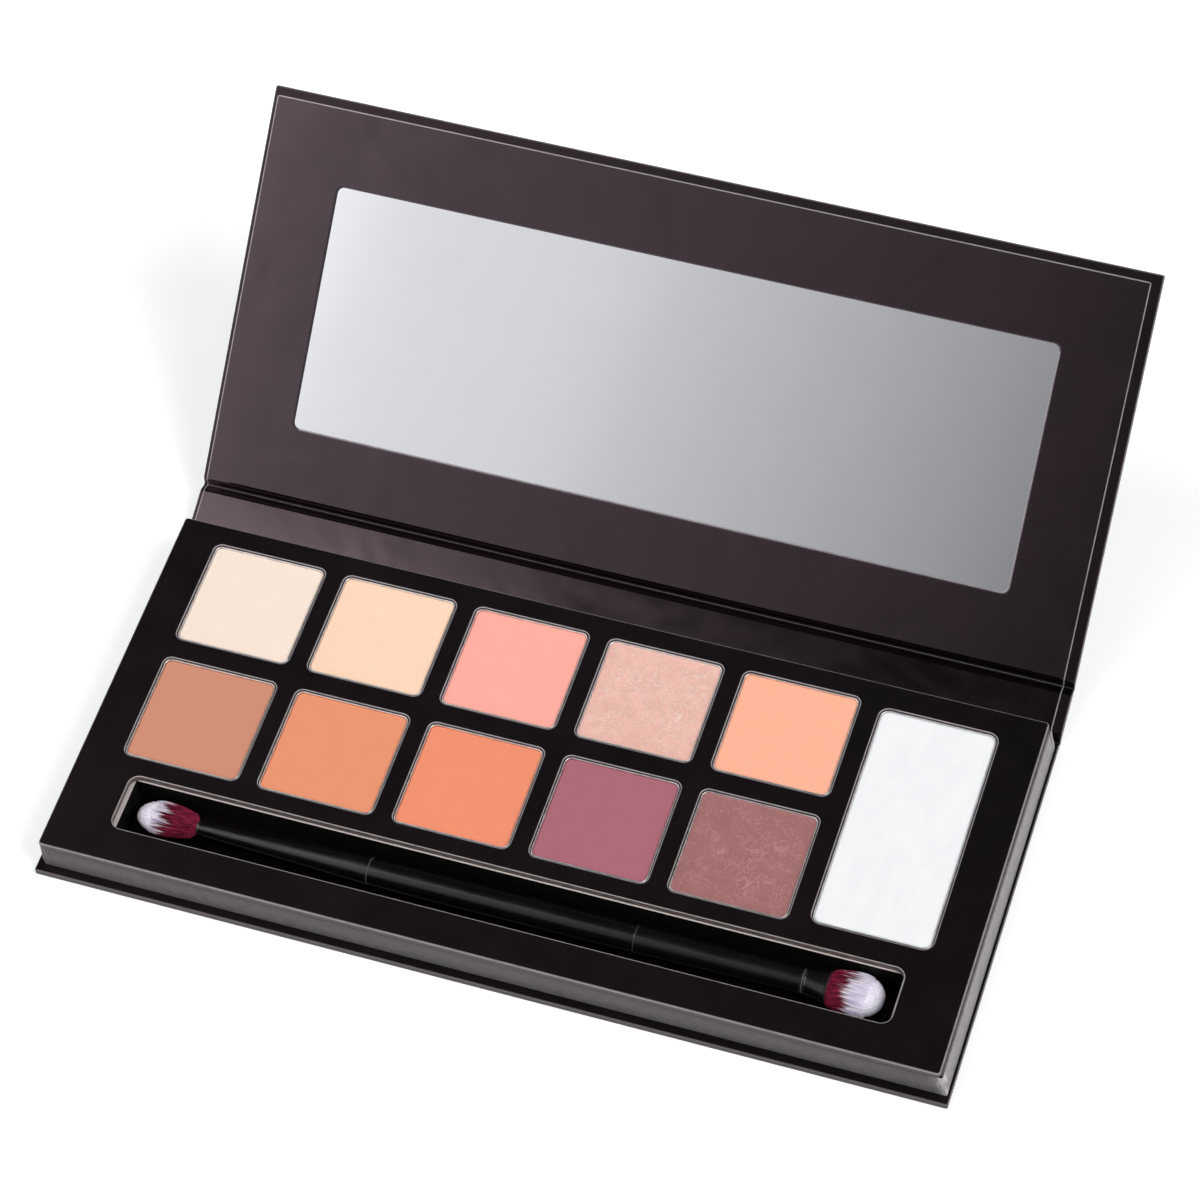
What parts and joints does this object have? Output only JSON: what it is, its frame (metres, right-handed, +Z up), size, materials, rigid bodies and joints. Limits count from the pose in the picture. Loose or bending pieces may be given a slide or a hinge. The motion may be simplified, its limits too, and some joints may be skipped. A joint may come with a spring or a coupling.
{
  "type": "eyeshadow palette",
  "caption": "Book-style paper-board eyeshadow palette with a folding lid, mirror, rows of square pans, a cream pan and a double-ended brush in a slot.",
  "frame": {"origin": "centre of the base board's underside", "axes": "+X along the width, +Y towards the fold side, +Z up"},
  "size_m": [0.203, 0.1728, 0.0672],
  "materials": {
    "grey_board": "matt grey board, raw cut edges",
    "cover_paper": "satin film-laminated black paper",
    "tray_paper": "satin film-laminated black paper",
    "lining_paper": "satin film-laminated black paper",
    "channel_board": "matt black board",
    "bed_board": "matt black laminated board",
    "plated_steel": "nickel plated",
    "tin": "bright rolled tin",
    "powder_ivory": "pressed powder, matt",
    "powder_peach_light": "pressed powder, matt",
    "powder_pink": "pressed powder, matt",
    "powder_champagne_shimmer": "pressed powder, fine shimmer",
    "powder_apricot": "pressed powder, matt",
    "powder_rose_tan": "pressed powder, matt",
    "powder_caramel": "pressed powder, matt",
    "powder_orange": "pressed powder, matt",
    "powder_plum": "pressed powder, matt",
    "powder_mauve_shimmer": "pressed powder, fine shimmer",
    "cream": "satin cream",
    "adhesive": "double-sided tape",
    "mirror": "silvered glass",
    "handle_lacquer": "gloss black lacquer",
    "ferrule_lacquer": "black anodised",
    "bristle": "synthetic fibre, pale tips on burgundy roots"
  },
  "bodies": {
    "base": {"base_board": "grey_board", "base_wrap": "cover_paper", "base_lining": "lining_paper", "tray_wall_front": "grey_board", "tray_wall_rear": "grey_board", "tray_wall_left": "grey_board", "tray_wall_right": "grey_board", "channel_divider": "channel_board", "channel_end_left": "channel_board", "channel_end_right": "channel_board", "tray_wrap": "tray_paper", "pan_bed": "bed_board", "top_card": "grey_board", "card_face": "tray_paper", "keeper_discs": "plated_steel", "pan_1": "tin", "pan_2": "tin", "pan_3": "tin", "pan_4": "tin", "pan_5": "tin", "pan_6": "tin", "pan_7": "tin", "pan_8": "tin", "pan_9": "tin", "pan_10": "tin", "shadow_1": "powder_ivory", "shadow_2": "powder_peach_light", "shadow_3": "powder_pink", "shadow_4": "powder_champagne_shimmer", "shadow_5": "powder_apricot", "shadow_6": "powder_rose_tan", "shadow_7": "powder_caramel", "shadow_8": "powder_orange", "shadow_9": "powder_plum", "shadow_10": "powder_mauve_shimmer", "cream_pan": "tin", "cream": "cream", "lower_fold_base_leaf": "cover_paper"},
    "spine": {"lower_fold_spine_leaf": "cover_paper", "spine_board": "grey_board", "spine_wrap": "cover_paper", "spine_lining": "lining_paper", "upper_fold_spine_leaf": "cover_paper"},
    "lid": {"upper_fold_lid_leaf": "cover_paper", "lid_board": "grey_board", "lid_wrap": "cover_paper", "lid_lining": "lining_paper", "mirror_adhesive": "adhesive", "mirror_glass": "mirror", "lid_magnets": "plated_steel"},
    "brush": {"brush_handle": "handle_lacquer", "small_ferrule": "ferrule_lacquer", "large_ferrule": "ferrule_lacquer", "small_bristles": "bristle", "large_bristles": "bristle"}
  },
  "joints": [
    {"name": "spine_fold", "type": "hinge", "parent": "base", "child": "spine", "pos_m": [0, 0.0464, 0], "axis": [1, 0, 0], "range_deg": [-21, 69]},
    {"name": "lid_fold", "type": "hinge", "parent": "spine", "child": "lid", "pos_m": [0, 0.05818, 0.00452], "axis": [1, 0, 0], "range_deg": [-21, 69]},
    {"name": "brush_lift", "type": "slide", "parent": "base", "child": "brush", "axis": [0, 0, 1], "range_m": [0, 0.04]}
  ]
}
